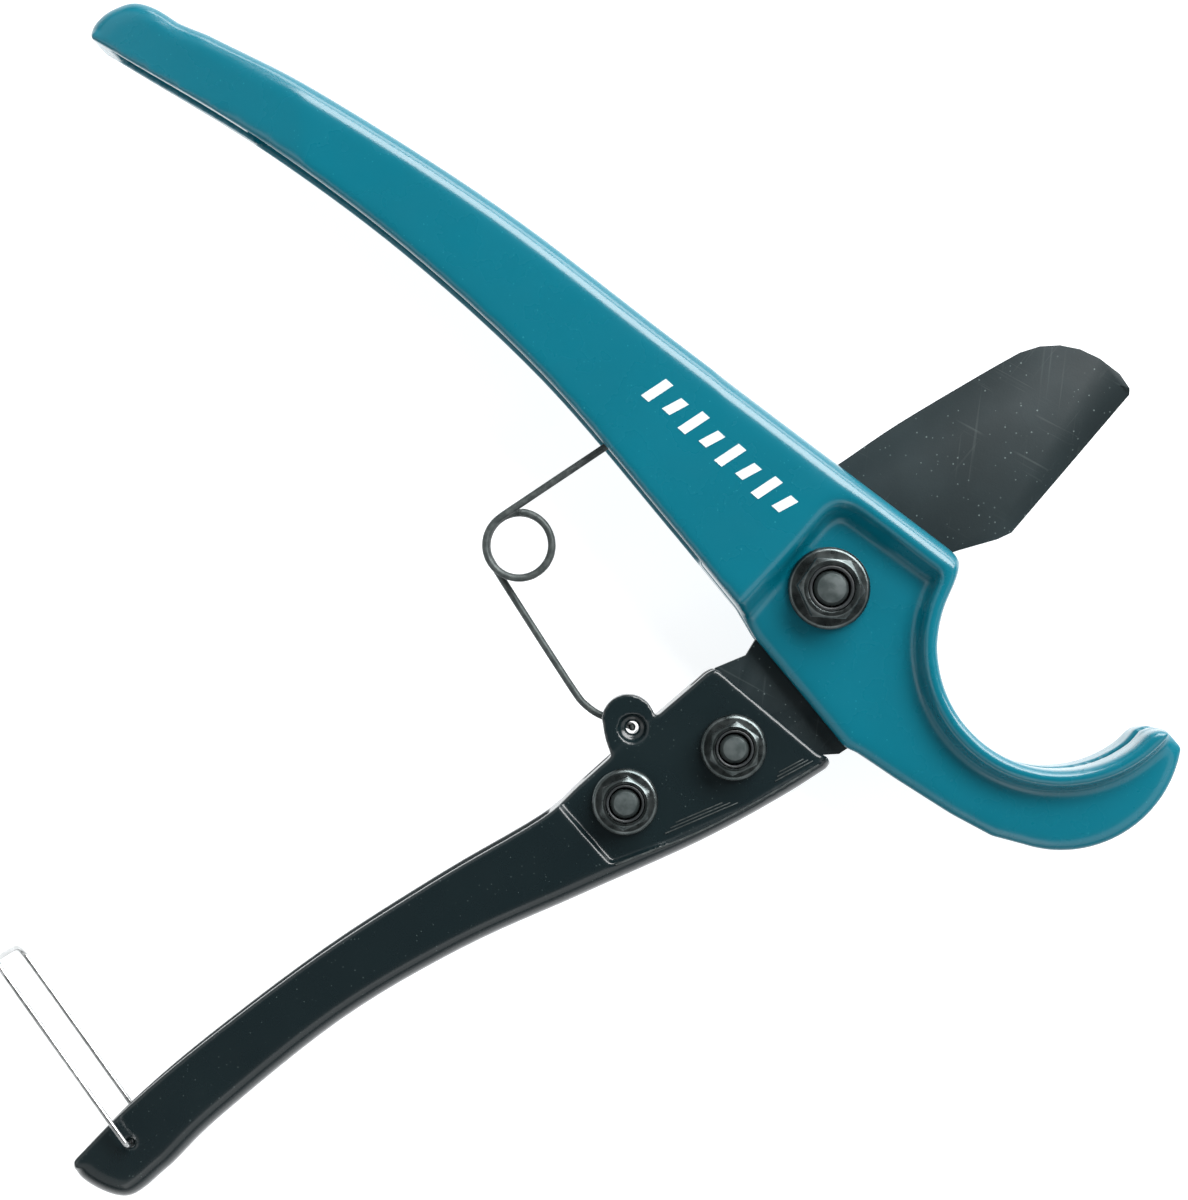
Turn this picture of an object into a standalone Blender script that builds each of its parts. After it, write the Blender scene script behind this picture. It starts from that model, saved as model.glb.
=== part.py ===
# One-hand cutter for plastic pipe up to 42 mm, lying on its side with the handles open.
#
# The blade's pivot axis is the Z axis. X runs from the pivot towards the jaw, and Z = 0 is the
# surface the tool lies on: the outer face of the pivot bolt's head. Lengths are in millimetres.
# Outlines are drawn in the middle plane, with the pivot at (0, 0) and heights measured from it.

import bpy
import bmesh
from math import cos, sin, radians, atan2, hypot, degrees
from mathutils import Vector

MM = 0.001
GAP = 0.3            # clearance between pieces that touch or run on each other
MID = 11.2           # middle plane above the surface the tool lies on
CLOSED = 68.0        # degrees that the lever turns from open to closed

# half thicknesses, measured from the middle plane
HANDLE_HALF = 9.5    # jaw handle and saddle rim
CAVITY_HALF = 7.0    # inside of the jaw handle's channel
TIP_HALF = 7.0       # jaw handle at TAPER_END, narrow enough for the lock bail
TIP_CAVITY_HALF = 4.6
WEB_HALF = 5.0       # head plate and hook
SLOT_HALF = 1.5      # slot for the blade
BLADE_HALF = 1.2
LEVER_HALF = 6.3
POCKET_HALF = 5.3    # lever's flat pocket, where the nuts sit
LEVER_CAVITY_HALF = 4.1

# jaw casting
SPINE = [(-106.5, 95.0), (-87.0, 84.8), (-56.3, 65.2), (-25.7, 41.9), (21.6, 6.1)]
SPINE_WALL = 3.0
SPINE_ROUND = 3.2
ROUND_STEPS = 6      # levels in the rounding of a casting's outer edge
END_SHARE = 0.35     # how much of the rounding is left at the ends of that edge
HANDLE_TIP = [(-126.9, 95.4), (-126.3, 96.9), (-124.9, 98.4), (-123.0, 99.6), (-119.6, 100.7), (-116.4, 100.0),
              (-113.8, 98.6), (-111.9, 97.3), (-110.0, 96.4)]
INNER_EDGE = [(-126.7, 94.4), (-119.8, 90.3), (-97.9, 77.0), (-73.4, 58.8), (-49.3, 36.7), (-27.5, 11.2), (-15.6, -3.4)]
TAPER_START = -90.0  # X where the jaw handle starts to narrow towards its tip
TAPER_END = -120.0
JAW_CENTRE = (39.4, -10.1)
JAW_RADIUS = 21.0
RIM_RADIUS = 24.3
HOOK_CENTRE = (40.2, -24.2)
HOOK_RADIUS = 20.9
HEAD_RADIUS = 22.3   # solid head between the pivot and the handle's channel
RECESS_FLOOR = [(-18.0, -10.2), (-2.1, 9.4), (-0.4, 11.4), (1.6, 12.2), (3.6, 11.4), (17.3, 1.4)]
RECESS_BRINK = [(-20.6, -8.0), (-1.4, 12.6), (0.1, 14.1), (2.2, 14.9), (4.5, 13.8), (18.0, 3.4)]

# pivot
PIVOT_BOLT = 3.0     # radius, M6
BUSH_RADIUS = 4.5
HUB_RADIUS = 17.0    # room in the head for the blade's hub
WASHER_RADIUS = 8.0
WASHER_DEPTH = 2.4

# lever casting
LEVER_INNER = [(-129.6, -98.3), (-120.5, -89.1), (-107.8, -78.3), (-87.3, -62.9), (-66.7, -49.7),
               (-49.6, -39.7), (-42.7, -33.7), (-33.0, -25.0), (-22.2, -15.7)]
LEVER_FRONT = [(-21.0, -14.6), (-19.6, -13.9), (-18.6, -14.3), (-1.6, -28.6)]
LEVER_NOSE = [(-0.2, -28.9), (0.5, -30.1), (-0.2, -31.1)]
LEVER_OUTER = [(-0.2, -31.1), (-8.5, -36.3), (-22.2, -43.7), (-42.7, -52.9), (-63.3, -62.2),
               (-83.8, -74.3), (-104.4, -90.8), (-113.0, -99.2)]
LEVER_END = [(-115.3, -101.2), (-117.7, -103.3), (-120.1, -104.7), (-122.6, -104.7), (-125.8, -103.5),
             (-128.7, -101.6), (-129.9, -99.8)]
LEVER_WALL = 3.2
LEVER_ROUND = 3.4
POCKET = [(-48.6, -32.3), (-46.2, -37.2), (-37.4, -47.2), (-26.9, -43.4), (-14.6, -37.8),
          (-0.8, -29.6), (2.0, -12.0), (-22.0, -3.0)]
BLADE_BOLTS = {"front": (-16.4, -27.3), "rear": (-35.0, -36.6)}
BLADE_BOLT = 2.5     # radius, M5
EAR = (-34.4, -22.8)
EAR_RADIUS = 4.6
EAR_LEVELS = (-0.5, 5.0)
EAR_BASE = [(-38.4, -25.8), (-36.6, -31.0), (-25.5, -22.5)]
LUG = (-33.7, -24.0) # spring's end in the ear
LUG_HOLE = 1.2
SPRING_RELIEF = 12.5 # reach of the room under the ear for the spring's leg as it swings
RELIEF_LEVELS = (-3.4, -0.5)
RELIEF_CORNER = (-36.0, -30.4)

# blade
BLADE_BACK = [(3.25, 22.3), (12.7, 28.7), (26.6, 37.0), (33.5, 40.9)]
BLADE_NOSE = [(37.0, 42.0), (40.5, 42.2), (44.0, 41.5), (47.4, 39.9), (50.9, 37.2), (52.6, 34.7)]
BLADE_EDGE = [(52.8, 33.7), (32.3, 9.7)]
BLADE_HEEL = [(29.6, 8.5), (23.6, 6.8), (16.5, 4.6), (13.4, -1.5), (8.6, -15.0), (4.9, -25.4), (4.0, -27.5), (2.2, -28.7)]
BLADE_TANG = [(-1.4, -28.9), (-4.5, -30.6), (-18.0, -37.4), (-34.0, -41.6), (-40.2, -39.6),
              (-40.6, -35.6), (-33.5, -32.6), (-24.6, -22.5), (-19.2, -13.8), (-13.9, -11.6),
              (-12.1, -8.6), (-13.6, -2.0), (-13.2, 6.5), (-9.4, 13.8)]
GRIND = 2.6          # width of the ground bevel along the cutting edge
SLOT_REACH = 63.4    # end of the hook's slot, from the pivot

# spring and lock bail
SPRING_WIRE = 0.7
COIL_CENTRE = (-53.3, 7.5)
COIL_RADIUS = 5.75
ARM_ANGLE = 33.8
LEG_ANGLE = -57.4
ARM_LENGTH = 38.0
ARM_LEVEL = 3.05
LEG_LEVEL = -2.2
ARM_STEP = 1.75      # height between the arm's turn and the coil's first
BAIL_HOLE = (-119.8, -95.1)
BAIL_WIRE = 0.5
BAIL_LENGTH = 39.0
BAIL_ANGLE = 125.5
BAIL_SPREAD = 8.7    # legs' distance from the middle plane
BAIL_CORNER = 3.0

TEAL = (0.008, 0.190, 0.275)
BLACK = (0.012, 0.020, 0.024)
COATING = (0.038, 0.060, 0.065)
OXIDE = (0.045, 0.055, 0.056)
STEEL = (0.36, 0.37, 0.37)
SPRING_STEEL = (0.10, 0.11, 0.11)
NYLON = (0.03, 0.035, 0.04)
BRONZE = (0.42, 0.30, 0.16)


# ---------- outlines ----------

def smooth(points, steps):
    """Catmull-Rom curve through the points, with some steps to each span."""
    knots = [Vector(p) for p in points]
    knots = [2 * knots[0] - knots[1]] + knots + [2 * knots[-1] - knots[-2]]
    curve = []
    for a, b, c, d in zip(knots, knots[1:], knots[2:], knots[3:]):
        for i in range(steps):
            t = i / steps
            curve.append(0.5 * (2 * b + (c - a) * t + (2 * a - 5 * b + 4 * c - d) * t * t
                                + (3 * b - a - 3 * c + d) * t ** 3))
    return [tuple(p) for p in curve] + [tuple(points[-1])]


def arc(centre, radius, start, end, steps):
    angles = [radians(start + (end - start) * i / steps) for i in range(steps + 1)]
    return [(centre[0] + radius * cos(a), centre[1] + radius * sin(a)) for a in angles]


def turned(point, angle):
    """A point turned about the pivot."""
    c, s = cos(radians(angle)), sin(radians(angle))
    return (c * point[0] - s * point[1], s * point[0] + c * point[1])


def beside(points, distance):
    """The chain moved sideways, to its right."""
    moved = []
    for i, p in enumerate(points):
        before, after = points[max(i - 1, 0)], points[min(i + 1, len(points) - 1)]
        along = (Vector(after) - Vector(before)).normalized()
        moved.append((p[0] + distance * along.y, p[1] - distance * along.x))
    return moved


# ---------- solids ----------

def loft(levels):
    """A closed solid through outlines of equal length, given as (height, points) from low to high."""
    bm = bmesh.new()
    rings = [[bm.verts.new((x, y, z)) for x, y in points] for z, points in levels]
    count = len(rings[0])
    for low, high in zip(rings, rings[1:]):
        for i in range(count):
            j = (i + 1) % count
            bm.faces.new((low[i], low[j], high[j], high[i]))
    bm.faces.new(rings[0])
    bm.faces.new(rings[-1])
    bmesh.ops.recalc_face_normals(bm, faces=bm.faces)
    return bm


def prism(points, low, high):
    return loft([(low, points), (high, points)])


def rounded_prism(chain, rest, half, width):
    """A prism whose top and bottom edges are rounded along the chain, less so at its two ends."""
    levels = []
    for i in range(ROUND_STEPS + 1):
        angle = radians(90.0 * i / ROUND_STEPS)
        inset = width * (1.0 - cos(angle))
        inner, outer = beside(chain, inset), beside(chain, inset * END_SHARE)
        moved = outer[:1] + inner[1:-1] + outer[-1:]
        levels.append((half - width + width * sin(angle), moved + rest))
    return loft([(-z, points) for z, points in reversed(levels)] + levels)


def turned_body(centre, rings, sides=24, hollow=False):
    """A body of rings about an upright axis, given as (height, radius, flats).

    flats is None on a round ring; on a hexagon the radius is half the width across its flats."""
    bm = bmesh.new()
    made = []
    for z, radius, flats in rings:
        ring = []
        for i in range(sides):
            a = 360.0 * i / sides
            r = radius
            if flats is not None:
                r = radius / cos(radians((a - flats) % 60.0 - 30.0))
            ring.append(bm.verts.new((centre[0] + r * cos(radians(a)), centre[1] + r * sin(radians(a)), z)))
        made.append(ring)
    pairs = list(zip(made, made[1:]))
    if hollow:
        pairs.append((made[-1], made[0]))
    else:
        bm.faces.new(made[0])
        bm.faces.new(made[-1])
    for low, high in pairs:
        for i in range(sides):
            j = (i + 1) % sides
            bm.faces.new((low[i], low[j], high[j], high[i]))
    bmesh.ops.recalc_face_normals(bm, faces=bm.faces)
    return bm


# ---------- objects ----------

def finish(name, colour, roughness, metallic):
    material = bpy.data.materials.new(name)
    material.use_nodes = True
    shader = material.node_tree.nodes["Principled BSDF"]
    shader.inputs["Base Color"].default_value = (*colour, 1.0)
    shader.inputs["Roughness"].default_value = roughness
    shader.inputs["Metallic"].default_value = metallic
    return material


def axis_empty(name, point):
    empty = bpy.data.objects.new(name, None)
    empty.location = (point[0] * MM, point[1] * MM, MID * MM)
    bpy.context.scene.collection.objects.link(empty)
    return empty


def add(name, bm, axis, material=None):
    """An object of the solid, hung on the empty that marks its joint's axis."""
    shift = Vector((axis.location.x, axis.location.y, 0.0))
    for v in bm.verts:
        v.co = v.co * MM - shift
    mesh = bpy.data.meshes.new(name)
    bm.to_mesh(mesh)
    bm.free()
    mesh.shade_smooth()
    mesh.set_sharp_from_angle(angle=radians(35))
    if material:
        mesh.materials.append(material)
    thing = bpy.data.objects.new(name, mesh)
    thing.parent = axis
    bpy.context.scene.collection.objects.link(thing)
    return thing


def cut(thing, tools, axis, operation='DIFFERENCE'):
    """Cuts or joins solids, which stay in the file as hidden wire shapes."""
    for label, bm in tools:
        tool = add(thing.name + "_" + label, bm, axis)
        tool.hide_render = True
        tool.display_type = 'WIRE'
        modifier = thing.modifiers.new(label, 'BOOLEAN')
        modifier.operation = operation
        modifier.object = tool
        modifier.solver = 'EXACT'


def wire(name, path, radius, axis, material):
    curve = bpy.data.curves.new(name, 'CURVE')
    curve.dimensions = '3D'
    curve.bevel_depth = radius * MM
    curve.bevel_resolution = 2
    curve.use_fill_caps = True
    spline = curve.splines.new('POLY')
    spline.points.add(len(path) - 1)
    shift = Vector((axis.location.x, axis.location.y, 0.0))
    for point, p in zip(spline.points, path):
        point.co = (*(Vector(p) * MM - shift), 1.0)
    curve.materials.append(material)
    thing = bpy.data.objects.new(name, curve)
    thing.parent = axis
    bpy.context.scene.collection.objects.link(thing)
    return thing


def bent(points, radius, steps=4):
    """A chain of straight runs with its corners rounded."""
    knots = [Vector(p) for p in points]
    path = [knots[0]]
    for a, b, c in zip(knots, knots[1:], knots[2:]):
        start = b + (a - b).normalized() * radius
        end = b + (c - b).normalized() * radius
        for i in range(steps + 1):
            t = i / steps
            path.append(start * (1 - t) ** 2 + b * 2 * t * (1 - t) + end * t * t)
    return path + [knots[-1]]


# ---------- jaw casting ----------

def jaw_outline():
    spine = smooth(SPINE, 8)
    rounded = smooth(HANDLE_TIP, 3) + spine + [(22.6, 4.6)]
    mouth = [(22.0, 2.6)] + arc(JAW_CENTRE, JAW_RADIUS, 152.0, 308.0, 52)
    tip = [(54.2, -24.5), (56.2, -23.9), (58.2, -24.4), (59.6, -26.0)]
    hook = arc(HOOK_CENTRE, HOOK_RADIUS, -9.0, -108.0, 24) + [(28.2, -42.6), (21.3, -38.9), (12.0, -33.0)]
    web = [(5.2, -28.4), (3.0, -27.4), (-5.3, -17.3), (-12.6, -8.5)]
    inner = smooth(INNER_EDGE, 7)
    return rounded, mouth + tip + hook + web + inner[::-1]


def recess(side):
    """The recess of the head plate and hook on one side, with a sloping step at the handle."""
    floor_arc = arc(JAW_CENTRE, RIM_RADIUS, 148.0, 326.0, 48)
    brink_arc = arc(JAW_CENTRE, RIM_RADIUS - 0.5, 148.0, 326.0, 48)
    outside = [(66.0, -22.0), (66.0, -52.0), (8.0, -52.0), (-22.0, -16.0)]
    floor = RECESS_FLOOR + floor_arc + outside
    brink = RECESS_BRINK + brink_arc + outside
    levels = [(WEB_HALF, floor), (HANDLE_HALF, brink), (HANDLE_HALF + 3.0, brink)]
    if side < 0:
        levels = [(-z, points) for z, points in reversed(levels)]
    return loft(levels)


def channel():
    """The inside of the jaw handle, up to the solid head."""
    inside = beside(smooth(SPINE, 8)[5:], SPINE_WALL)
    inside = [p for p in inside if hypot(*p) > HEAD_RADIUS + 1.0 and p[0] < 0.0]
    head = arc((0.0, 0.0), HEAD_RADIUS, degrees(atan2(inside[-1][1], inside[-1][0])) - 2.0, 216.0, 10)
    open_side = beside(smooth(INNER_EDGE[2:], 3), 8.0)[::-1]
    return prism(inside + head + open_side, -CAVITY_HALF, CAVITY_HALF)


def tip_channel():
    inside = [(-92.0, 82.9), (-104.5, 89.4), (-112.0, 92.6), (-118.0, 95.4), (-121.5, 95.0)]
    open_side = [(-123.5, 91.9), (-124.5, 86.0), (-92.0, 66.0)]
    return prism(inside + open_side, -TIP_CAVITY_HALF, TIP_CAVITY_HALF)


def taper_tip(bm):
    """Narrows the handle evenly from TAPER_START on, so that it ends in the width of its tip."""
    whole = bm.verts[:] + bm.edges[:] + bm.faces[:]
    bmesh.ops.bisect_plane(bm, geom=whole, plane_co=(TAPER_START, 0, 0), plane_no=(1, 0, 0))
    slope = (1.0 - TIP_HALF / HANDLE_HALF) / (TAPER_START - TAPER_END)
    for v in bm.verts:
        v.co.z *= 1.0 - slope * max(0.0, TAPER_START - v.co.x)
    return bm


def blade_slot():
    """Room for the blade from open to closed: the head, the jaw's mouth and the hook's slot."""
    stop = 124.1                                # direction of the blade's back edge from the pivot, at rest
    foot = arc((0.0, 0.0), HUB_RADIUS, 143.0, stop, 3)
    along = Vector((cos(radians(stop - 90.0)), sin(radians(stop - 90.0))))
    far = Vector(foot[-1]) + along * 61.0
    closed_tip = turned(BLADE_EDGE[0], -CLOSED - 1.4)
    closed_heel = turned(BLADE_EDGE[1], -CLOSED - 1.4)
    sweep = arc((0.0, 0.0), SLOT_REACH, 33.0, degrees(atan2(closed_tip[1], closed_tip[0])), 14)
    hub = arc((0.0, 0.0), 30.0, -62.0, -150.0, 6)
    tang = [turned((26.0, 0.0), 180.0), turned((26.0, 0.0), 143.0)]
    return prism(foot + [tuple(far)] + sweep + [closed_tip, closed_heel] + hub + tang,
                 -SLOT_HALF, SLOT_HALF)


def make_jaw(axis, paint):
    rounded, rest = jaw_outline()
    jaw = add("jaw_body", taper_tip(rounded_prism(rounded, rest, HANDLE_HALF, SPINE_ROUND)), axis, paint)
    bore = PIVOT_BOLT + GAP
    seat = WASHER_RADIUS + GAP
    tools = [("near_recess", recess(1)), ("far_recess", recess(-1)), ("channel", channel()),
             ("tip_channel", tip_channel()), ("blade_slot", blade_slot()),
             ("bore", turned_body((0, 0), [(-12.0, bore, None), (12.0, bore, None)])),
             ("washer_seats", turned_body((0, 0), [(-WASHER_DEPTH, seat, None), (WASHER_DEPTH, seat, None)]))]
    cut(jaw, tools, axis)


# ---------- lever casting ----------

def make_lever(axis, paint):
    outer = smooth(LEVER_OUTER, 6)
    rounded = LEVER_NOSE[1:] + outer[1:] + smooth(LEVER_END, 3)
    rest = smooth(LEVER_INNER, 5) + LEVER_FRONT + LEVER_NOSE[:1]
    lever = add("lever_body", rounded_prism(rounded, rest, LEVER_HALF, LEVER_ROUND), axis, paint)
    ear = arc(EAR, EAR_RADIUS, 5.0, 175.0, 18) + EAR_BASE
    cut(lever, [("ear", prism(ear, *EAR_LEVELS))], axis, 'UNION')

    wall = [p for p in beside(outer, LEVER_WALL) if -118.0 < p[0] < -50.0]
    mouth = [(-123.6, -98.6), (-132.0, -95.0), (-100.0, -62.0), (-50.0, -30.0), (-47.8, -41.0), (-48.6, -50.0)]
    tang = [(-4.4, -31.3), (-18.2, -38.2), (-34.2, -42.4), (-41.2, -40.6), (-41.8, -34.8), (-34.2, -31.6),
            (-25.6, -21.8), (-21.0, -12.0), (6.0, -20.0), (2.0, -28.8)]
    relief = arc(LUG, SPRING_RELIEF, 241.0, 150.0, 6) + arc(LUG, 3.2, 90.0, -75.0, 6) + [RELIEF_CORNER]
    tools = [("near_pocket", prism(POCKET, POCKET_HALF, LEVER_HALF + 2.0)),
             ("far_pocket", prism(POCKET, -LEVER_HALF - 2.0, -POCKET_HALF)),
             ("channel", prism(wall + mouth, -LEVER_CAVITY_HALF, LEVER_CAVITY_HALF)),
             ("tang_slot", prism(tang, -SLOT_HALF, SLOT_HALF)),
             ("spring_relief", prism(relief, *RELIEF_LEVELS)),
             ("ear_hole", turned_body(LUG, [(-1.0, LUG_HOLE, None), (7.0, LUG_HOLE, None)], 12)),
             ("ear_sink", turned_body(LUG, [(3.9, 2.4, None), (7.0, 2.4, None)], 16)),
             ("bail_hole", turned_body(BAIL_HOLE, [(-12.0, 0.9, None), (12.0, 0.9, None)], 10))]
    for end, centre in BLADE_BOLTS.items():
        bore = BLADE_BOLT + GAP
        tools.append((end + "_bore", turned_body(centre, [(-12.0, bore, None), (12.0, bore, None)], 16)))
    cut(lever, tools, axis)


# ---------- blade ----------

def make_blade(axis, coating):
    outline = smooth(BLADE_BACK, 4) + BLADE_NOSE + BLADE_EDGE + BLADE_HEEL + BLADE_TANG
    tip, heel = Vector(BLADE_EDGE[0]), Vector(BLADE_EDGE[1])
    along = (heel - tip).normalized()
    inward = Vector((along.y, -along.x)) * GRIND
    ground = [tuple(Vector(p) + inward) if p in BLADE_EDGE else p for p in outline]
    body = loft([(-BLADE_HALF, ground), (-0.1, outline), (0.1, outline), (BLADE_HALF, ground)])
    blade = add("blade", body, axis, coating)
    holes = [("pivot_hole", turned_body((0, 0), [(-3.0, BUSH_RADIUS + GAP, None), (3.0, BUSH_RADIUS + GAP, None)]))]
    for end, centre in BLADE_BOLTS.items():
        bore = BLADE_BOLT + GAP
        holes.append((end + "_hole", turned_body(centre, [(-3.0, bore, None), (3.0, bore, None)], 16)))
    cut(blade, holes, axis)


# ---------- fasteners ----------

def make_fastener(name, centre, axis, radius, flange, half_flats, floor, top, flats, metals):
    """A through bolt with its washer, and a flange nut with a locking ring, about one axis."""
    oxide, nylon = metals
    bore = radius + GAP
    seat = floor + GAP
    flange_top = seat + 1.5
    nut = [(seat, bore, None), (seat, flange, None), (seat + 0.6, flange, None),
           (flange_top, half_flats * 1.17, None), (flange_top, half_flats, flats),
           (top - 0.9, half_flats, flats), (top, half_flats * 0.98, None), (top, bore + 1.3, None),
           (top - 1.6, bore + 1.3, None), (top - 1.6, bore, None)]
    add(name + "_nut", turned_body(centre, nut, hollow=True), axis, oxide)
    ring = [(top - 1.6 + GAP, bore, None), (top - 1.6 + GAP, bore + 1.0, None),
            (top - 0.3, bore + 1.0, None), (top - 0.3, bore, None)]
    add(name + "_nut_insert", turned_body(centre, ring, hollow=True), axis, nylon)
    washer = [(-seat - 1.0, bore, None), (-seat - 1.0, flange * 0.92, None),
              (-seat, flange * 0.92, None), (-seat, bore, None)]
    add(name + "_bolt_washer", turned_body(centre, washer, hollow=True), axis, oxide)
    under_head = -seat - 1.0 - GAP
    head = [(-top, half_flats * 0.9, None), (-top + 0.5, half_flats, flats), (under_head, half_flats, flats),
            (under_head, radius, None), (top - 0.5, radius, None), (top - 0.1, radius - 0.4, None)]
    add(name + "_bolt", turned_body(centre, head), axis, oxide)


def make_pivot_bearing(axis, steel, bronze):
    bore = PIVOT_BOLT + GAP
    low = SLOT_HALF + 0.1
    high = WASHER_DEPTH - GAP
    for side, name in ((1, "thrust_washer_near"), (-1, "thrust_washer_far")):
        ring = [(low * side, bore, None), (low * side, WASHER_RADIUS, None),
                (high * side, WASHER_RADIUS, None), (high * side, bore, None)]
        add(name, turned_body((0, 0), ring, hollow=True), axis, steel)
    sleeve = [(-BLADE_HALF, bore, None), (-BLADE_HALF, BUSH_RADIUS, None),
              (BLADE_HALF, BUSH_RADIUS, None), (BLADE_HALF, bore, None)]
    add("pivot_bush", turned_body((0, 0), sleeve, hollow=True), axis, bronze)


# ---------- spring and lock bail ----------

def on_coil(angle, height):
    return (COIL_CENTRE[0] + COIL_RADIUS * cos(radians(angle)),
            COIL_CENTRE[1] + COIL_RADIUS * sin(radians(angle)), height)


def make_spring(arm_axis, coil_axis, steel):
    arm_start = ARM_ANGLE + 90.0
    leg_start = LEG_ANGLE - 90.0 + 360.0
    root = Vector(on_coil(arm_start, ARM_LEVEL))
    away = Vector((cos(radians(ARM_ANGLE)), sin(radians(ARM_ANGLE)), 0.0))
    arm = [root + away * ARM_LENGTH, root + away * ARM_LENGTH * 0.5, root + away * 2.0]
    loop = [on_coil(arm_start + 325.0 * i / 22, ARM_LEVEL) for i in range(23)]
    wire("torsion_spring_arm", arm + loop, SPRING_WIRE, arm_axis, steel)

    first_level = ARM_LEVEL - ARM_STEP
    total = leg_start - arm_start + 720.0
    count = 52
    coil = [on_coil(arm_start + total * i / count, first_level + (LEG_LEVEL - first_level) * i / count)
            for i in range(count + 1)]
    down = Vector((cos(radians(LEG_ANGLE)), sin(radians(LEG_ANGLE)), 0.0))
    foot = Vector(coil[-1]) + down * 28.0
    leg = smooth([tuple(foot), (foot.x + 3.2, foot.y - 2.6, LEG_LEVEL), (LUG[0] - 1.4, LUG[1] + 0.4, LEG_LEVEL)], 3)
    hooked = [(LUG[0] - 0.4, LUG[1] + 0.1, LEG_LEVEL + 0.4), (*LUG, LEG_LEVEL + 1.2), (*LUG, EAR_LEVELS[1] - 1.6)]
    wire("torsion_spring_coil", coil + leg + hooked, SPRING_WIRE, coil_axis, steel)


def make_bail(axis, steel):
    reach = (cos(radians(BAIL_ANGLE)) * BAIL_LENGTH, sin(radians(BAIL_ANGLE)) * BAIL_LENGTH)
    far = (BAIL_HOLE[0] + reach[0], BAIL_HOLE[1] + reach[1])
    inner = LEVER_CAVITY_HALF + 0.5
    corners = [(*BAIL_HOLE, inner), (*BAIL_HOLE, BAIL_SPREAD), (*far, BAIL_SPREAD),
               (*far, -BAIL_SPREAD), (*BAIL_HOLE, -BAIL_SPREAD), (*BAIL_HOLE, -inner)]
    ends = bent(corners[:3], 1.2)[:-1] + bent(corners[1:5], BAIL_CORNER)[1:-1] + bent(corners[3:], 1.2)[1:]
    wire("lock_bail", ends, BAIL_WIRE, axis, steel)


# ---------- the tool ----------

def main():
    for thing in list(bpy.data.objects):
        bpy.data.objects.remove(thing)

    teal = finish("teal_paint", TEAL, 0.3, 0.0)
    black = finish("black_paint", BLACK, 0.3, 0.0)
    coating = finish("blade_coating", COATING, 0.55, 0.0)
    oxide = finish("black_oxide", OXIDE, 0.4, 0.8)
    nylon = finish("nylon", NYLON, 0.5, 0.0)
    steel = finish("bright_steel", STEEL, 0.3, 1.0)
    spring_steel = finish("spring_steel", SPRING_STEEL, 0.35, 1.0)
    bronze = finish("sintered_bronze", BRONZE, 0.4, 1.0)

    pivot = axis_empty("pivot_axis", (0.0, 0.0))
    make_jaw(pivot, teal)
    make_lever(pivot, black)
    make_blade(pivot, coating)
    make_fastener("pivot", (0.0, 0.0), pivot, PIVOT_BOLT, 7.1, 5.0, WEB_HALF, MID, 0.0, (oxide, nylon))
    for end, centre in BLADE_BOLTS.items():
        make_fastener("blade_" + end, centre, pivot, BLADE_BOLT, 5.7, 4.0, POCKET_HALF, 10.3, 25.0, (oxide, nylon))
    make_pivot_bearing(pivot, steel, bronze)
    make_spring(axis_empty("arm_axis", COIL_CENTRE), axis_empty("coil_axis", LUG), spring_steel)
    make_bail(axis_empty("bail_axis", BAIL_HOLE), steel)


main()
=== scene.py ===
import bpy
import bmesh
from math import atan2, cos, pi, radians, sin, tan
from mathutils import Vector, Matrix
from mathutils.bvhtree import BVHTree


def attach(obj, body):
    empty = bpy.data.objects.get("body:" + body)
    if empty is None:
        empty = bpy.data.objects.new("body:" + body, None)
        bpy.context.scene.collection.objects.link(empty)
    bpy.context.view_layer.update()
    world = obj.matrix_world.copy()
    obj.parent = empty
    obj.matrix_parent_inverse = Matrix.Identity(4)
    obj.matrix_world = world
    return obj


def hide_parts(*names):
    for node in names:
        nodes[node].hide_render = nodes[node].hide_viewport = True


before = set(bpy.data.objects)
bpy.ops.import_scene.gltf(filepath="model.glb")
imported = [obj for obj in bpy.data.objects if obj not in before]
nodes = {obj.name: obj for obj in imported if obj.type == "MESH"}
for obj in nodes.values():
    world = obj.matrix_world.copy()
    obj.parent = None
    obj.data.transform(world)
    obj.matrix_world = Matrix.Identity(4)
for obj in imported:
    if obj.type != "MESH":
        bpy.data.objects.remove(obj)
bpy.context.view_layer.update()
mm = 0.001
midPlane = 11.2 * mm  # height of the tool's middle plane over the floor


# small helpers that every piece uses

def selectOnly(piece):
    bpy.ops.object.select_all(action='DESELECT')
    piece.select_set(True)
    bpy.context.view_layer.objects.active = piece


def useAll(piece, *modifiers):  # adds each modifier and applies it, in order
    selectOnly(piece)
    for kind, settings in modifiers:
        modifier = piece.modifiers.new(kind.title(), kind)
        for key, value in settings.items():
            setattr(modifier, key, value)
        bpy.ops.object.modifier_apply(modifier=modifier.name)


def copyOf(node, name):  # a merged copy of a node, to be worked finer
    source = nodes[node]
    piece = source.copy()
    piece.data = source.data.copy()
    piece.name = name
    piece.parent = None
    for key in list(piece.keys()):
        del piece[key]
    bpy.context.scene.collection.objects.link(piece)
    piece.data.materials.clear()
    selectOnly(piece)
    bpy.ops.object.mode_set(mode='EDIT')
    bpy.ops.mesh.select_all(action='SELECT')
    bpy.ops.mesh.remove_doubles(threshold=0.000004)
    bpy.ops.object.mode_set(mode='OBJECT')
    return piece


def settle(piece, body, material, slot, *stoodFor):  # last step of every piece
    piece.data.materials.clear()
    piece.data.materials.append(material)
    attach(piece, body)
    if stoodFor:
        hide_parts(*stoodFor)


# node helpers and the effects that several finishes share

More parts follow.
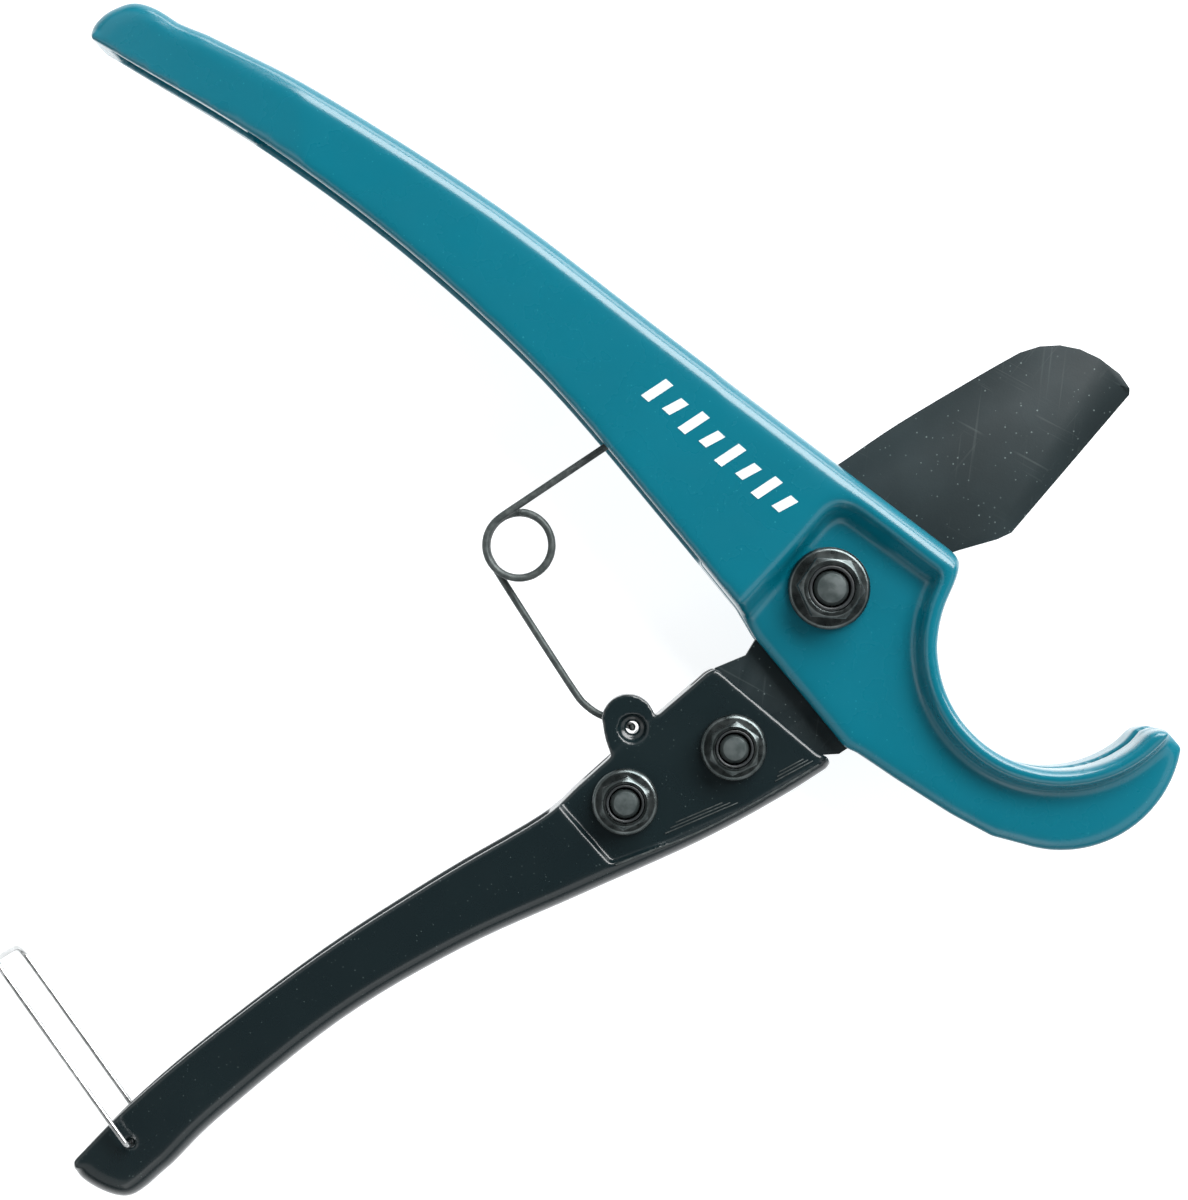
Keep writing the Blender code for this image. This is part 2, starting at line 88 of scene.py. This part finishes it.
def newGroup(name, inputs, outputs):
    group = bpy.data.node_groups.new(name, 'ShaderNodeTree')
    for label, kind, value in inputs:
        socket = group.interface.new_socket(name=label, in_out='INPUT', socket_type=kind)
        if value is not None:
            socket.default_value = value
    for label, kind in outputs:
        group.interface.new_socket(name=label, in_out='OUTPUT', socket_type=kind)
    start = group.nodes.new('NodeGroupInput')
    end = group.nodes.new('NodeGroupOutput')
    return group, start, end


def addNode(tree, kind, links=None, **settings):
    node = tree.nodes.new(kind)
    for key, value in settings.items():
        setattr(node, key, value)
    for socket, value in (links or {}).items():
        if isinstance(value, bpy.types.NodeSocket):
            tree.links.new(value, node.inputs[socket])
        else:
            node.inputs[socket].default_value = value
    return node


def ramp(tree, value, low, high):  # 0 below low, 1 above high
    return addNode(tree, 'ShaderNodeMapRange', {'Value': value, 'From Min': low, 'From Max': high},
                   interpolation_type='SMOOTHSTEP').outputs['Result']


def buildSpecks():  # small round flecks of dust or metallic grain, as a mask
    sockets = [('Scale', 'NodeSocketFloat', 900.0), ('Size', 'NodeSocketFloat', 0.2),
               ('Share', 'NodeSocketFloat', 0.5)]
    group, start, end = newGroup('specks', sockets, [('Mask', 'NodeSocketFloat')])
    spot = addNode(group, 'ShaderNodeTexCoord').outputs['Object']
    cells = addNode(group, 'ShaderNodeTexVoronoi', {'Vector': spot, 'Scale': start.outputs['Scale']})
    dot = addNode(group, 'ShaderNodeMath', {0: start.outputs['Size'], 1: cells.outputs['Distance']},
                  operation='GREATER_THAN')
    luck = addNode(group, 'ShaderNodeSeparateColor', {'Color': cells.outputs['Color']})
    chosen = addNode(group, 'ShaderNodeMath', {0: start.outputs['Share'], 1: luck.outputs['Red']},
                     operation='GREATER_THAN')
    both = addNode(group, 'ShaderNodeMath', {0: dot.outputs[0], 1: chosen.outputs[0]}, operation='MULTIPLY')
    faded = addNode(group, 'ShaderNodeMath', {0: both.outputs[0], 1: luck.outputs['Green']},
                    operation='MULTIPLY')
    group.links.new(faded.outputs[0], end.inputs['Mask'])
    return group


def buildPaintSkin():  # the slight ripple of a thick paint coat, as a normal
    sockets = [('Scale', 'NodeSocketFloat', 900.0), ('Depth', 'NodeSocketFloat', 0.02),
               ('Waviness', 'NodeSocketFloat', 0.03)]
    group, start, end = newGroup('paintSkin', sockets, [('Normal', 'NodeSocketVector')])
    spot = addNode(group, 'ShaderNodeTexCoord').outputs['Object']
    fine = addNode(group, 'ShaderNodeTexNoise', {'Vector': spot, 'Scale': start.outputs['Scale'],
                                                 'Detail': 3.0})
    broad = addNode(group, 'ShaderNodeTexNoise', {'Vector': spot, 'Scale': 130.0, 'Detail': 1.0})
    under = addNode(group, 'ShaderNodeBump', {'Strength': start.outputs['Waviness'], 'Distance': 0.001,
                                              'Height': broad.outputs['Fac']})
    skin = addNode(group, 'ShaderNodeBump', {'Strength': start.outputs['Depth'], 'Distance': 0.0003,
                                             'Height': fine.outputs['Fac'],
                                             'Normal': under.outputs['Normal']})
    group.links.new(skin.outputs['Normal'], end.inputs['Normal'])
    return group


def buildScuffs():  # fine broken scratches lying in many directions, as a mask
    sockets = [('Turn', 'NodeSocketFloat', 0.0), ('Amount', 'NodeSocketFloat', 0.5)]
    group, start, end = newGroup('scuffs', sockets, [('Mask', 'NodeSocketFloat')])
    spot = addNode(group, 'ShaderNodeTexCoord').outputs['Object']
    turned = addNode(group, 'ShaderNodeVectorRotate', {'Vector': spot, 'Angle': start.outputs['Turn']},
                     rotation_type='Z_AXIS')
    drawn = addNode(group, 'ShaderNodeMapping', {'Vector': turned.outputs[0],
                                                 'Scale': (40.0, 1600.0, 1600.0)})
    lines = addNode(group, 'ShaderNodeTexNoise', {'Vector': drawn.outputs[0], 'Scale': 1.0, 'Detail': 2.0})
    patches = addNode(group, 'ShaderNodeTexNoise', {'Vector': spot, 'Scale': 90.0, 'Detail': 2.0})
    thin = ramp(group, lines.outputs['Fac'], 0.62, 0.72)
    where = ramp(group, patches.outputs['Fac'], 0.48, 0.62)
    both = addNode(group, 'ShaderNodeMath', {0: thin, 1: where}, operation='MULTIPLY')
    amount = addNode(group, 'ShaderNodeMath', {0: both.outputs[0], 1: start.outputs['Amount']},
                     operation='MULTIPLY')
    group.links.new(amount.outputs[0], end.inputs['Mask'])
    return group


specksGroup = buildSpecks()
paintSkinGroup = buildPaintSkin()
scuffsGroup = buildScuffs()


def newFinish(name, metallic=0.0, roughness=0.4, **sockets):
    material = bpy.data.materials.new(name)
    material.use_nodes = True
    shader = material.node_tree.nodes['Principled BSDF']
    shader.inputs['Metallic'].default_value = metallic
    shader.inputs['Roughness'].default_value = roughness
    for key, value in sockets.items():
        shader.inputs[key.replace('_', ' ')].default_value = value
    return material, material.node_tree, shader


def place(tree, group, **inputs):
    node = tree.nodes.new('ShaderNodeGroup')
    node.node_tree = group
    for key, value in inputs.items():
        node.inputs[key].default_value = value
    return node


def blendColour(tree, mask, low, high):
    mix = tree.nodes.new('ShaderNodeMix')
    mix.data_type = 'RGBA'
    for socket, value in ((mix.inputs[0], mask), (mix.inputs[6], low), (mix.inputs[7], high)):
        if isinstance(value, bpy.types.NodeSocket):
            tree.links.new(value, socket)
        elif isinstance(value, tuple):
            socket.default_value = (*value, 1.0)
        else:
            socket.default_value = value
    return mix.outputs[2]


def blendValue(tree, mask, low, high):
    spread = addNode(tree, 'ShaderNodeMapRange', {'Value': mask, 'To Min': low, 'To Max': high})
    return spread.outputs['Result']


def cloud(tree, scale, detail=3.0):
    spot = addNode(tree, 'ShaderNodeTexCoord').outputs['Object']
    noise = addNode(tree, 'ShaderNodeTexNoise', {'Vector': spot, 'Scale': scale, 'Detail': detail})
    return noise.outputs['Fac']


def join(tree, shader, tone, rough, **ripple):  # the sockets that every finish fills
    tree.links.new(tone, shader.inputs['Base Color'])
    tree.links.new(rough, shader.inputs['Roughness'])
    skin = place(tree, paintSkinGroup, **ripple)
    tree.links.new(skin.outputs['Normal'], shader.inputs['Normal'])


def glossPaint(name, colour, deep, fleck, roughness, fleckShare):
    material, tree, shader = newFinish(name, roughness=roughness, Coat_Weight=0.6, Coat_Roughness=0.12,
                                       Coat_IOR=1.4, Specular_IOR_Level=0.35)
    tone = blendColour(tree, ramp(tree, cloud(tree, 45.0), 0.3, 0.7), deep, colour)
    flecks = place(tree, specksGroup, Scale=1500.0, Size=0.17, Share=fleckShare)
    dust = place(tree, specksGroup, Scale=420.0, Size=0.07, Share=fleckShare * 0.3)
    tone = blendColour(tree, flecks.outputs['Mask'], tone, fleck)
    tone = blendColour(tree, dust.outputs['Mask'], tone, fleck)
    rough = blendValue(tree, cloud(tree, 160.0), roughness - 0.04, roughness + 0.05)
    join(tree, shader, tone, rough, Scale=900.0, Depth=0.03, Waviness=0.02)
    return material


def bladeCoat():
    material, tree, shader = newFinish('bladeCoat', roughness=0.5, Specular_IOR_Level=0.2)
    tone = blendColour(tree, ramp(tree, cloud(tree, 60.0, 5.0), 0.3, 0.75), (0.009, 0.016, 0.018),
                       (0.015, 0.025, 0.028))
    for turn, amount in ((0.5, 0.3), (-0.9, 0.2), (1.7, 0.2)):
        marks = place(tree, scuffsGroup, Turn=turn, Amount=amount)
        tone = blendColour(tree, marks.outputs['Mask'], tone, (0.065, 0.08, 0.08))
    grains = place(tree, specksGroup, Scale=1100.0, Size=0.16, Share=0.3)
    tone = blendColour(tree, grains.outputs['Mask'], tone, (0.10, 0.13, 0.13))
    rough = blendValue(tree, cloud(tree, 220.0), 0.42, 0.58)
    join(tree, shader, tone, rough, Scale=2600.0, Depth=0.05, Waviness=0.0)
    return material


def metal(name, dark, light, metallic, roughness, grain=400.0):
    material, tree, shader = newFinish(name, metallic=metallic, roughness=roughness)
    tone = blendColour(tree, ramp(tree, cloud(tree, grain, 4.0), 0.35, 0.7), dark, light)
    rough = blendValue(tree, cloud(tree, grain * 2.0), roughness - 0.08, roughness + 0.1)
    join(tree, shader, tone, rough, Scale=2500.0, Depth=0.04, Waviness=0.01)
    return material


tealPaint = glossPaint('tealPaint', (0.0005, 0.127, 0.178), (0.0005, 0.119, 0.167), (0.02, 0.21, 0.26),
                       0.27, 0.16)
blackPaint = glossPaint('blackPaint', (0.0055, 0.0125, 0.0145), (0.0045, 0.0105, 0.0125),
                        (0.05, 0.07, 0.07), 0.27, 0.22)
bladeBlack = bladeCoat()
darkOxide = metal('darkOxide', (0.07, 0.085, 0.085), (0.14, 0.16, 0.16), 1.0, 0.28)
boltEnd = metal('boltEnd', (0.05, 0.065, 0.065), (0.11, 0.13, 0.13), 0.6, 0.45)
nylonBlack = metal('nylonBlack', (0.012, 0.015, 0.016), (0.02, 0.024, 0.026), 0.0, 0.4)
springDark = metal('springDark', (0.045, 0.055, 0.055), (0.085, 0.098, 0.096), 0.5, 0.5, 900.0)
brightWire = metal('brightWire', (0.45, 0.46, 0.46), (0.62, 0.63, 0.63), 1.0, 0.25, 900.0)
bushBronze = metal('bushBronze', (0.34, 0.23, 0.12), (0.46, 0.33, 0.18), 1.0, 0.42)
print('finishes ready')


# the castings, worked finer from the plain solids

castings = {
    'jawCasting': dict(node='jaw_body', body='jaw', voxel=0.44 * mm, rounds=6, keep=0.8, finish=tealPaint,
                       slot='teal_paint', softRounds=80),
    'leverCasting': dict(node='lever_body', body='lever', voxel=0.36 * mm, rounds=7, keep=0.8,
                         finish=blackPaint, slot='black_paint', softRounds=0),
}
softSpots = dict(headStart=-20.0 * mm, headFade=2.5 * mm, headLowest=4.0 * mm, handleLowest=8.0 * mm,
                 handleShare=0.5, heightFade=0.6 * mm)


def fade(value, start, width):  # 0 up to start, 1 from start + width on
    return min(1.0, max(0.0, (value - start) / width))


def markSoftSpots(piece):  # the head with its step, the rim and its foot, and the flat sides' own edges
    group = piece.vertex_groups.new(name='softSpots')
    for vertex in piece.data.vertices:
        height = abs(vertex.co.z - midPlane)
        head = fade(vertex.co.x, softSpots['headStart'], softSpots['headFade'])
        head *= fade(height, softSpots['headLowest'], softSpots['heightFade'])
        handle = softSpots['handleShare'] * fade(height, softSpots['handleLowest'], softSpots['heightFade'])
        share = max(head, handle)
        if share > 0.0:
            group.add([vertex.index], share, 'REPLACE')


def makeCasting(name, voxel, rounds, softRounds, keep, node, body, finish, slot):
    piece = copyOf(node, name)
    useAll(piece, ('REMESH', dict(mode='VOXEL', voxel_size=voxel)))
    useAll(piece, ('SMOOTH', dict(factor=0.5, iterations=rounds)))
    if softRounds:
        markSoftSpots(piece)
        useAll(piece, ('SMOOTH', dict(factor=0.5, iterations=softRounds, vertex_group='softSpots')))
    useAll(piece, ('DECIMATE', dict(ratio=keep)))
    bpy.ops.object.shade_smooth()
    print(name, len(piece.data.polygons), 'faces')
    settle(piece, body, finish, slot, node)


for name, values in castings.items():
    makeCasting(name, **values)


# flange nuts with their locking rings, bolts and washers

fasteners = {
    'pivot': dict(centre=(0.0, 0.0), body='jaw', bolt=3.0 * mm, flange=7.1 * mm, flats=5.0 * mm,
                  seat=5.3 * mm, top=11.2 * mm, corner=-5.0),
    'blade_front': dict(centre=(-16.4 * mm, -27.3 * mm), body='lever', bolt=2.5 * mm, flange=5.7 * mm,
                        flats=4.0 * mm, seat=5.6 * mm, top=10.3 * mm, corner=25.0),
    'blade_rear': dict(centre=(-35.0 * mm, -36.6 * mm), body='lever', bolt=2.5 * mm, flange=5.7 * mm,
                       flats=4.0 * mm, seat=5.6 * mm, top=10.3 * mm, corner=25.0),
}
nutShape = dict(flangeDeep=1.5 * mm, flangeEdge=0.75 * mm, clearance=0.3 * mm, crownTilt=32.0, crownFlat=0.95,
                crownExtra=1.0 * mm, hexLift=0.2 * mm, softEdge=0.12 * mm)
ringShape = dict(seat=0.24, deep=1.3 * mm, gap=0.12 * mm, below=0.1 * mm, softEdge=0.22 * mm)
boltShape = dict(washer=1.3 * mm, overlap=0.5 * mm, shankEnd=0.95 * mm, chamferStart=1.0 * mm, end=0.15 * mm,
                 chamfer=0.55 * mm, softEdge=0.1 * mm)
cutExtra = 1.0 * mm  # how far a cutting tool passes the face it cuts


def drum(centre, radius, low, high, sides=72, topRadius=None):  # round block, or a cone with a top radius
    spot = (*centre, midPlane + (low + high) / 2)
    if topRadius is None:
        bpy.ops.mesh.primitive_cylinder_add(vertices=sides, radius=radius, depth=high - low, location=spot)
    else:
        bpy.ops.mesh.primitive_cone_add(vertices=sides, radius1=radius, radius2=topRadius, depth=high - low,
                                        location=spot)
    block = bpy.context.object
    bpy.ops.object.transform_apply(location=True, rotation=True, scale=True)
    return block


def combine(piece, tool, operation):
    useAll(piece, ('BOOLEAN', dict(object=tool, operation=operation, solver='EXACT')))
    bpy.data.objects.remove(tool)


def hexBlock(centre, flats, corner, low, high, crown):  # crown is 1 when the chamfered end looks up
    block = drum(centre, flats / cos(pi / 6), low, high, sides=6)
    selectOnly(block)
    bpy.ops.transform.rotate(value=radians(30.0 - corner), orient_axis='Z',
                             center_override=(*centre, midPlane))
    bpy.ops.object.transform_apply(location=True, rotation=True, scale=True)
    reach = (high - low) + nutShape['crownExtra']
    small = flats * nutShape['crownFlat']
    wide = small + reach / tan(radians(nutShape['crownTilt']))
    if crown > 0:
        tool = drum(centre, wide, high - reach, high, sides=96, topRadius=small)
    else:
        tool = drum(centre, small, low, low + reach, sides=96, topRadius=wide)
    combine(block, tool, 'INTERSECT')
    return block


def softenEdges(piece, width, segments=2):
    useAll(piece, ('BEVEL', dict(width=width, segments=segments, limit_method='ANGLE',
                                 angle_limit=radians(28.0))))
    bpy.ops.object.shade_smooth_by_angle(angle=radians(40.0))


def makeFlangeNut(label, centre, body, bolt, flange, flats, seat, top, corner):
    nut = hexBlock(centre, flats, corner, seat + nutShape['hexLift'], top, 1)
    nut.name = label + 'FlangeNut'
    skirt = drum(centre, flange, seat, seat + nutShape['flangeDeep'], sides=96)
    useAll(skirt, ('BEVEL', dict(width=nutShape['flangeEdge'], segments=4, limit_method='ANGLE',
                                 angle_limit=radians(40.0))))
    combine(nut, skirt, 'UNION')
    bore = bolt + nutShape['clearance']
    combine(nut, drum(centre, bore, seat - cutExtra, top + cutExtra), 'DIFFERENCE')
    seatBore = bore + ringShape['seat'] * bolt
    combine(nut, drum(centre, seatBore, top - ringShape['deep'], top + cutExtra), 'DIFFERENCE')
    softenEdges(nut, nutShape['softEdge'])
    settle(nut, body, darkOxide, 'black_oxide', label + '_nut')


def makeHexBolt(label, centre, body, bolt, flange, flats, seat, top, corner):
    under = -seat - boltShape['washer']
    head = hexBlock(centre, flats, corner, -top, under, -1)
    head.name = label + 'HexBolt'
    combine(head, drum(centre, bolt, under - boltShape['overlap'], top - boltShape['shankEnd']), 'UNION')
    combine(head, drum(centre, bolt, top - boltShape['chamferStart'], top - boltShape['end'],
                       topRadius=bolt - boltShape['chamfer']), 'UNION')
    softenEdges(head, boltShape['softEdge'])
    settle(head, body, boltEnd, 'black_oxide', label + '_bolt')


def makeLockRing(label, centre, body, bolt, flange, flats, seat, top, corner):
    bore = bolt + nutShape['clearance']
    outside = bore + ringShape['seat'] * bolt - ringShape['gap']
    ring = drum(centre, outside, top - ringShape['deep'], top - ringShape['below'])
    ring.name = label + 'LockRing'
    combine(ring, drum(centre, bore, seat, top + cutExtra), 'DIFFERENCE')
    softenEdges(ring, ringShape['softEdge'], 3)
    settle(ring, body, nylonBlack, 'nylon', label + '_nut_insert')


def makeRing(label, node, body, finish, slot, soft):
    ring = copyOf(node, label)
    softenEdges(ring, soft, 3)
    settle(ring, body, finish, slot, node)


for label, values in fasteners.items():
    for make in (makeFlangeNut, makeHexBolt, makeLockRing):
        make(label, **values)
    makeRing(label + 'Washer', label + '_bolt_washer', values['body'], darkOxide, 'black_oxide', 0.12 * mm)
for side in ('near', 'far'):
    makeRing('thrustWasher' + side.title(), 'thrust_washer_' + side, 'jaw', brightWire, 'bright_steel',
             0.06 * mm)
makeRing('pivotBush', 'pivot_bush', 'jaw', bushBronze, 'bronze', 0.1 * mm)
print('fasteners ready')


# the blade, and the bent wire pieces

def makeBlade():
    blade = copyOf('blade', 'cuttingBlade')
    softenEdges(blade, 0.07 * mm)
    settle(blade, 'lever', bladeBlack, 'blade_coating', 'blade')


wirePieces = {
    'springArm': dict(node='torsion_spring_arm', body='spring_arm', finish=springDark, slot='spring_steel'),
    'springCoil': dict(node='torsion_spring_coil', body='spring_coil', finish=springDark,
                       slot='spring_steel'),
    'lockBail': dict(node='lock_bail', body='bail', finish=brightWire, slot='bright_steel'),
}


def makeWirePiece(name, node, body, finish, slot):
    wire = copyOf(node, name)
    useAll(wire, ('SUBSURF', dict(levels=2)))
    bpy.ops.object.shade_smooth()
    settle(wire, body, finish, slot, node)


makeBlade()
for name, values in wirePieces.items():
    makeWirePiece(name, **values)
print('blade and wires ready')


# a plain printed mark of slanted bars on the jaw handle

barMark = dict(start=(-30.2 * mm, 34.2 * mm), turn=-41.6, count=8, pitch=4.15 * mm, width=1.7 * mm,
               tall=4.9 * mm, shortShare=0.72, slant=1.3 * mm, low=20.66 * mm, high=20.76 * mm,
               tone=(0.62, 0.68, 0.69))


def makeBars():
    bm = bmesh.new()
    spin = Matrix.Rotation(radians(barMark['turn']), 4, 'Z')
    for i in range(barMark['count']):
        tall = barMark['tall'] * (1.0 if i % 2 == 0 else barMark['shortShare'])
        middle = i * barMark['pitch'] + barMark['width'] / 2
        foot = [(-1, -1), (1, -1), (1, 1), (-1, 1)]
        flat = [(middle + a * barMark['width'] / 2 + b * barMark['slant'] / 2, b * tall / 2) for a, b in foot]
        rings = [[bm.verts.new(spin @ Vector((x, y, 0)) + Vector((*barMark['start'], level)))
                  for x, y in flat] for level in (barMark['low'], barMark['high'])]
        for j in range(4):
            k = (j + 1) % 4
            bm.faces.new((rings[0][j], rings[0][k], rings[1][k], rings[1][j]))
        bm.faces.new(rings[0][::-1])
        bm.faces.new(rings[1])
    mesh = bpy.data.meshes.new('barMark')
    bm.to_mesh(mesh)
    bm.free()
    bars = bpy.data.objects.new('barMark', mesh)
    bpy.context.scene.collection.objects.link(bars)
    ink, tree, shader = newFinish('whiteInk', roughness=0.5)
    worn = tuple(c * 0.8 for c in barMark['tone'])
    tone = blendColour(tree, ramp(tree, cloud(tree, 1500.0), 0.25, 0.4), worn, barMark['tone'])
    tree.links.new(tone, shader.inputs['Base Color'])
    mesh.materials.append(ink)
    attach(bars, 'jaw')


makeBars()
print('mark ready')


# fine raised cast lines beside the lever's rib, finished in light grey metal instead of the black paint so
# they show as painted highlight lines, and a painted highlight line along the rib's top

ledgeHighlightLines = {
    'noseHighlightLines': dict(start=(-9.2 * mm, -33.1 * mm), end=(-2.7 * mm, -29.6 * mm), count=3),
    'ribHighlightLines': dict(start=(-28.1 * mm, -42.1 * mm), end=(-15.6 * mm, -36.8 * mm), count=3),
}
ledgeShape = dict(apart=0.52 * mm, wide=0.18 * mm, floor=16.5 * mm, proud=0.14 * mm, sunk=0.3 * mm,
                  shorter=0.18, softEdge=0.03 * mm)
ribCrestHighlight = dict(thick=0.15 * mm, reach=1.25 * mm, tries=10, above=50.0 * mm,
                guide=((-37.0, -46.2), (-28.7, -43.5), (-17.6, -39.1), (-9.7, -34.9), (-3.5, -30.4),
                       (-1.4, -28.4)))


def makeLedgeHighlightLines(name, start, end, count):
    along = Vector(end) - Vector(start)
    side = Vector((-along.y, along.x)).normalized()
    depth = ledgeShape['proud'] + ledgeShape['sunk']
    strips = []
    for i in range(count):
        middle = (Vector(start) + Vector(end)) / 2 + side * ledgeShape['apart'] * i
        spot = (middle.x, middle.y, ledgeShape['floor'] + ledgeShape['proud'] - depth / 2)
        bpy.ops.mesh.primitive_cube_add(size=1.0, location=spot, rotation=(0, 0, atan2(along.y, along.x)))
        strip = bpy.context.object
        strip.scale = (along.length * (1.0 - ledgeShape['shorter'] * i), ledgeShape['wide'], depth)
        bpy.ops.object.transform_apply(location=True, rotation=True, scale=True)
        strips.append(strip)
    bpy.ops.object.select_all(action='DESELECT')
    for strip in strips:
        strip.select_set(True)
    bpy.ops.object.join()
    lines = bpy.context.object
    lines.name = name
    softenEdges(lines, ledgeShape['softEdge'])
    # the light grey spring steel finish on these ridges, in place of the lever's black paint, paints
    # highlight lines along them
    lines.data.materials.append(springDark)
    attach(lines, 'lever')


def highest(surface, middle, side, reach, tries, above):  # the casting's top across the guide line
    hits = []
    for i in range(-tries, tries + 1):
        start = (middle + side * reach * i / tries).to_3d() + Vector((0, 0, above))
        hits.append(surface.ray_cast(start, Vector((0, 0, -1)))[0])
    return max((hit for hit in hits if hit), key=lambda hit: hit.z)


def makeRibCrestHighlight(thick, guide, **search):  # a painted highlight: a thin light grey line laid along the top of the rib, found on the casting
    surface = BVHTree.FromObject(bpy.data.objects['leverCasting'], bpy.context.evaluated_depsgraph_get())
    spots = []
    for start, end in zip(guide, guide[1:]):
        start, end = Vector(start) * mm, Vector(end) * mm
        side = (end - start).orthogonal().normalized()
        if not spots:
            spots.append(highest(surface, start, side, **search))
        spots.append(highest(surface, (start + end) / 2, side, **search))
    curve = bpy.data.curves.new('ribCrestHighlight', 'CURVE')
    curve.dimensions = '3D'
    curve.bevel_depth, curve.bevel_resolution, curve.resolution_u = thick, 3, 10
    spline = curve.splines.new('BEZIER')
    spline.bezier_points.add(len(spots) - 1)
    for point, spot in zip(spline.bezier_points, spots):
        point.co = spot
        point.handle_left_type = point.handle_right_type = 'AUTO'
    crest = bpy.data.objects.new('ribCrestHighlight', curve)
    bpy.context.collection.objects.link(crest)
    selectOnly(crest)
    bpy.ops.object.convert(target='MESH')
    bpy.ops.object.shade_smooth()
    crest = bpy.context.object
    crest.data.materials.clear()
    # the light grey spring steel finish on this thin tube paints a highlight line along the rib's top
    crest.data.materials.append(springDark)
    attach(crest, 'lever')


for name, values in ledgeHighlightLines.items():
    makeLedgeHighlightLines(name, **values)
makeRibCrestHighlight(**ribCrestHighlight)
print('cast lines ready')


# floor, light and camera

studio = dict(floorTone=(0.40, 0.405, 0.41), floorGlow=0.88, glowTone=(0.97, 0.99, 1.0, 1.0), floorSize=16.0,
              floorHeight=-0.2 * mm, worldTone=(0.95, 0.98, 1.0), worldStrength=0.07, horizonStrength=0.8,
              overhead=412.0 * mm, viewWidth=204.0 * mm, centre=(-40.3 * mm, -2.0 * mm), nearFace=20.7 * mm,
              sensor=36.0, aim=(-0.03, 0.0, 0.01))
lamps = {
    'keyRight': dict(azimuth=52.0, elevation=42.0, distance=1.3, size=(1.3, 0.6), power=31.0),
    'skimRight': dict(azimuth=58.0, elevation=14.0, distance=1.3, size=(1.6, 0.35), power=13.0),
    'fillLeft': dict(azimuth=160.0, elevation=44.0, distance=1.5, size=(2.2, 1.0), power=5.0),
    'fillBelow': dict(azimuth=232.0, elevation=44.0, distance=1.5, size=(2.2, 1.0), power=4.5),
    'fillLow': dict(azimuth=305.0, elevation=42.0, distance=1.5, size=(2.2, 0.9), power=6.5),
}


def makeFloor():
    bpy.ops.mesh.primitive_plane_add(size=studio['floorSize'], location=(0, 0, studio['floorHeight']))
    floor = bpy.context.object
    floor.name = 'floor'
    material, tree, shader = newFinish('floorPaper', roughness=0.9, Specular_IOR_Level=0.1,
                                       Emission_Color=studio['glowTone'],  # paper lit from beneath
                                       Emission_Strength=studio['floorGlow'])
    shade = tuple(c * 0.985 for c in studio['floorTone'])
    tone = blendColour(tree, cloud(tree, 6.0), studio['floorTone'], shade)
    tree.links.new(tone, shader.inputs['Base Color'])
    floor.data.materials.append(material)


def makeLight(name, azimuth, elevation, distance, size, power):
    light = bpy.data.lights.new(name, 'AREA')
    light.shape = 'RECTANGLE'
    light.size, light.size_y = size
    light.energy = power
    lamp = bpy.data.objects.new(name, light)
    bpy.context.scene.collection.objects.link(lamp)
    around, up = radians(azimuth), radians(elevation)
    away = Vector((cos(around) * cos(up), sin(around) * cos(up), sin(up)))
    lamp.location = Vector(studio['aim']) + away * distance
    lamp.rotation_mode = 'QUATERNION'
    lamp.rotation_quaternion = away.to_track_quat('Z', 'Y')


def makeCamera():
    camera = bpy.data.cameras.new('camera')
    camera.sensor_width = studio['sensor']
    camera.lens = studio['sensor'] * studio['overhead'] / studio['viewWidth']
    camera.clip_start = 0.01
    camera.clip_end = 20.0
    holder = bpy.data.objects.new('camera', camera)
    holder.location = (*studio['centre'], studio['nearFace'] + studio['overhead'])
    bpy.context.scene.collection.objects.link(holder)
    bpy.context.scene.camera = holder


def makeWorld():  # pale at the horizon, dim overhead
    world = bpy.data.worlds.new('studio')
    world.use_nodes = True
    tree = world.node_tree
    background = tree.nodes['Background']
    background.inputs['Color'].default_value = (*studio['worldTone'], 1.0)
    direction = addNode(tree, 'ShaderNodeTexCoord').outputs['Generated']
    height = addNode(tree, 'ShaderNodeSeparateXYZ', {'Vector': direction}).outputs['Z']
    strength = addNode(tree, 'ShaderNodeMapRange', {'Value': height, 'From Min': 0.12, 'From Max': 0.3,
                                                    'To Min': studio['horizonStrength'],
                                                    'To Max': studio['worldStrength']})
    tree.links.new(strength.outputs['Result'], background.inputs['Strength'])
    bpy.context.scene.world = world


makeFloor()
makeWorld()
for name, values in lamps.items():
    makeLight(name, **values)
makeCamera()
bpy.context.scene.view_settings.view_transform = 'Standard'
print('studio ready')
